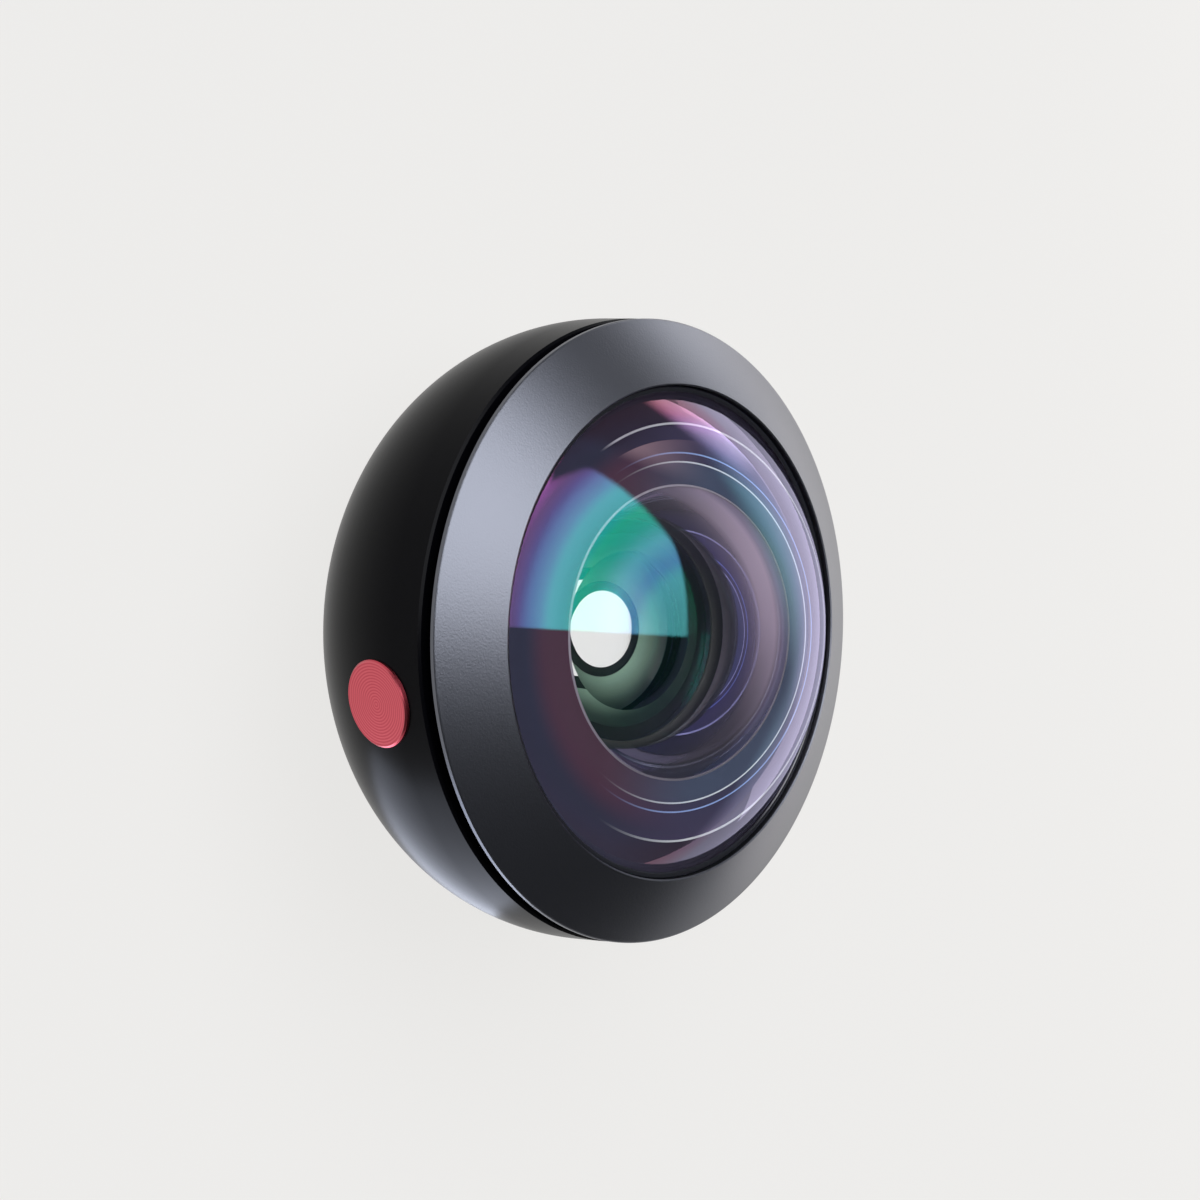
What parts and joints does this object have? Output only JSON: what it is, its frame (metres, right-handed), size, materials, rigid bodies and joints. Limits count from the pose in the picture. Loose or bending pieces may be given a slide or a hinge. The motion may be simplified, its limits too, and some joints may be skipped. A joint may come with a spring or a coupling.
{
  "type": "phone fisheye lens",
  "caption": "Fisheye lens for a phone: domed metal body, conical front ring, large domed front glass and a bayonet behind.",
  "frame": {"origin": "centre of the bayonet spigot's rear face, on which the lens stands", "axes": "+Z along the optical axis towards the subject, -Y towards the side badge, +X across both bayonet lugs"},
  "size_m": [0.04, 0.0403, 0.0277],
  "materials": {
    "shell_anodised": "black anodised, satin",
    "bezel_anodised": "bead-blasted and anodised dark grey",
    "retainer_anodised": "black anodised, satin, rounded lip",
    "seal_rubber": "matt",
    "front_glass": "polished, with a purple-green multilayer coating",
    "second_glass": "polished, with a green multilayer coating",
    "pair_front_glass": "polished and coated in front, cemented behind",
    "pair_rear_glass": "cemented in front, polished and coated behind",
    "rear_glass": "polished and coated",
    "baffle_film": "blackened, matt",
    "barrel_anodised": "turned and black anodised, matt",
    "ring_anodised": "turned and black anodised, matt",
    "stop_brass": "chemically blackened, matt",
    "shim_brass": "bare, rolled",
    "mount_steel": "turned stainless steel",
    "screw_steel": "turned stainless steel",
    "badge_anodised": "turned face, red anodised",
    "adhesive": "acrylic film"
  },
  "bodies": {
    "root": {"body_shell": "shell_anodised", "front_bezel": "bezel_anodised", "bezel_seal": "seal_rubber", "glass_retainer": "retainer_anodised", "front_element": "front_glass", "front_seal": "seal_rubber", "light_baffle": "baffle_film", "lens_barrel": "barrel_anodised", "second_retainer": "ring_anodised", "second_element": "second_glass", "aperture_stop": "stop_brass", "stop_spacer": "barrel_anodised", "doublet_front": "pair_front_glass", "doublet_rear": "pair_rear_glass", "doublet_retainer": "ring_anodised", "rear_element": "rear_glass", "rear_retainer": "ring_anodised", "barrel_shim": "shim_brass", "bayonet_mount": "mount_steel", "mount_screws": "screw_steel", "badge_disc": "badge_anodised", "badge_adhesive": "adhesive"}
  },
  "joints": []
}
